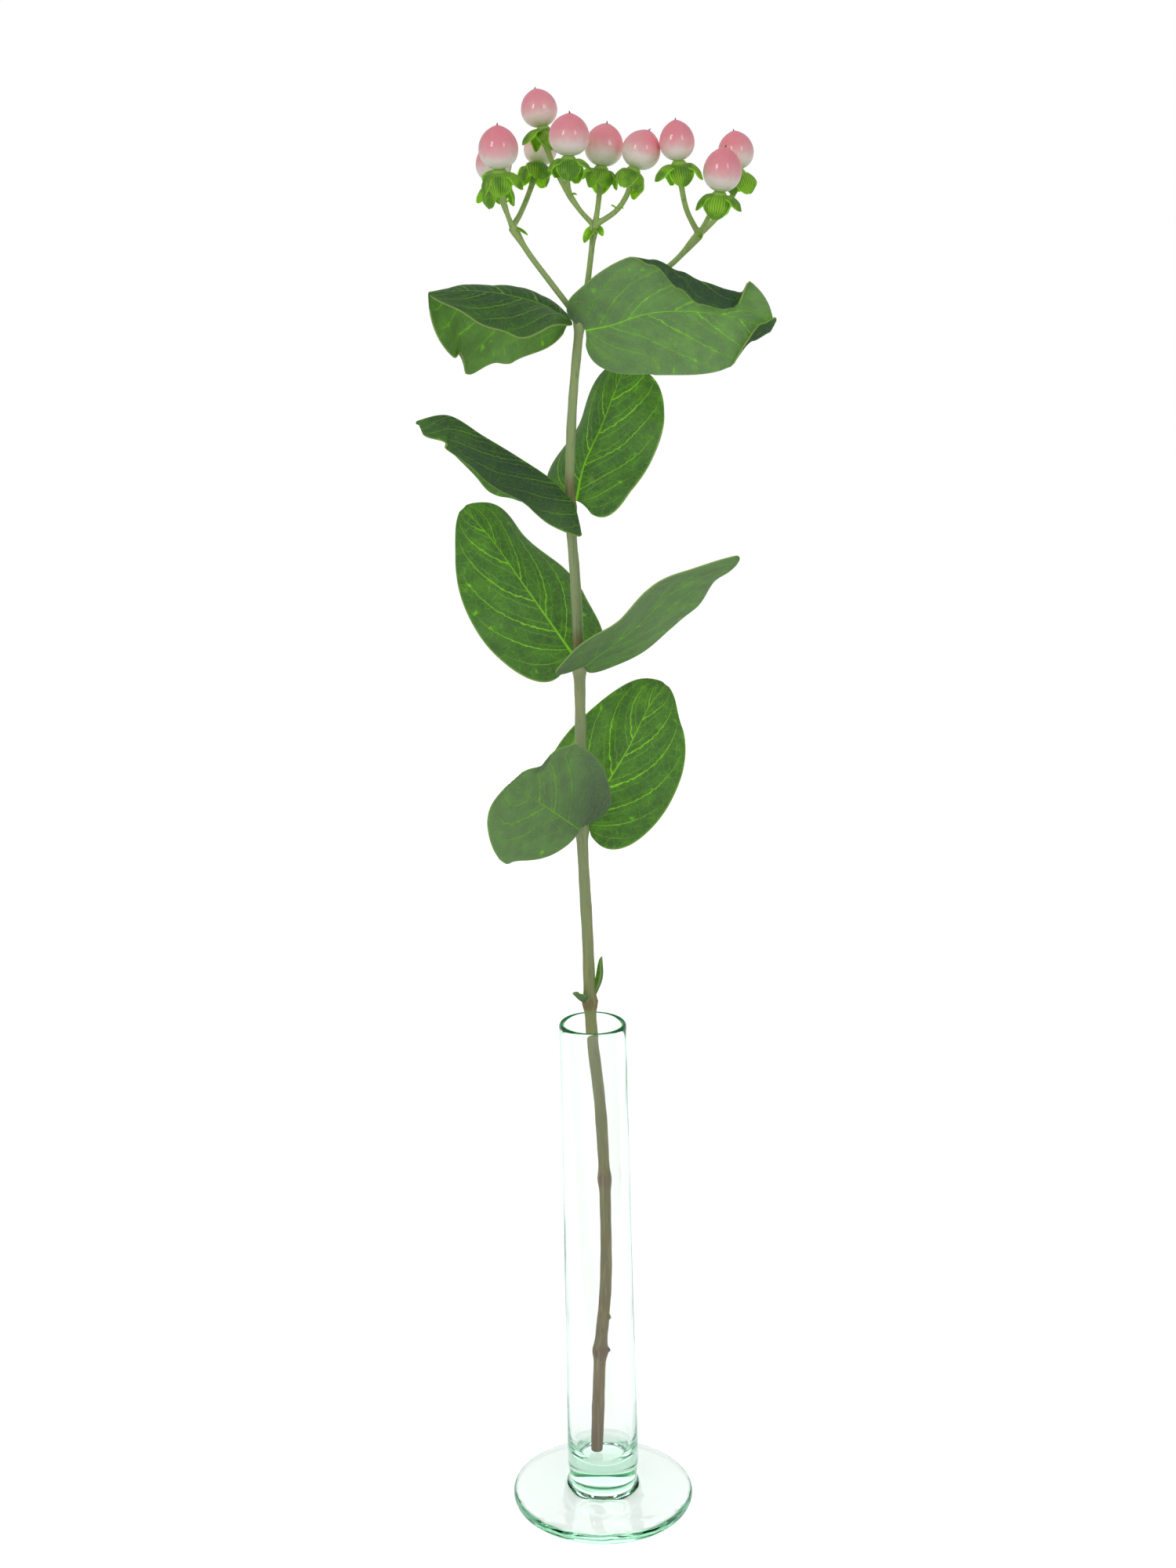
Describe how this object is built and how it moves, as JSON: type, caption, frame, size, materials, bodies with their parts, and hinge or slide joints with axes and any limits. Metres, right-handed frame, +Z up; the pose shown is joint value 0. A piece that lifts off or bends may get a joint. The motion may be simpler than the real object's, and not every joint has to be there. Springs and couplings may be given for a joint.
{
  "type": "hypericum berry stem in a glass vase",
  "caption": "Single cut hypericum stem with opposite green leaves and a loose spray of pink egg-shaped berries, standing in a clear glass stem vase with a flat disc foot.",
  "frame": {"origin": "centre of the flat underside of the vase's foot, on the table", "axes": "+Z up along the vase, -Y towards the front of the arrangement, +X to its right"},
  "size_m": [0.1229, 0.0757, 0.536],
  "materials": {
    "vase_glass": "clear, very pale green, smooth",
    "stem_bark": "satin, grey-green turning brown towards the cut end",
    "leaf": "satin above, matte grey-green below",
    "calyx": "satin",
    "berry": "glossy, coral pink above fading to cream below"
  },
  "bodies": {
    "root": {"vase": "vase_glass", "stem": "stem_bark", "leaf_0_left": "leaf", "leaf_0_right": "leaf", "leaf_1_left": "leaf", "leaf_1_right": "leaf", "leaf_2_left": "leaf", "leaf_2_right": "leaf", "leaf_3_left": "leaf", "leaf_3_right": "leaf", "leaf_4_left": "leaf", "leaf_4_right": "leaf", "calyx_01": "calyx", "calyx_02": "calyx", "calyx_03": "calyx", "calyx_04": "calyx", "calyx_05": "calyx", "calyx_06": "calyx", "calyx_07": "calyx", "calyx_08": "calyx", "calyx_09": "calyx", "calyx_10": "calyx", "berry_01": "berry", "berry_02": "berry", "berry_03": "berry", "berry_04": "berry", "berry_05": "berry", "berry_06": "berry", "berry_07": "berry", "berry_08": "berry", "berry_09": "berry", "berry_10": "berry"}
  },
  "joints": []
}
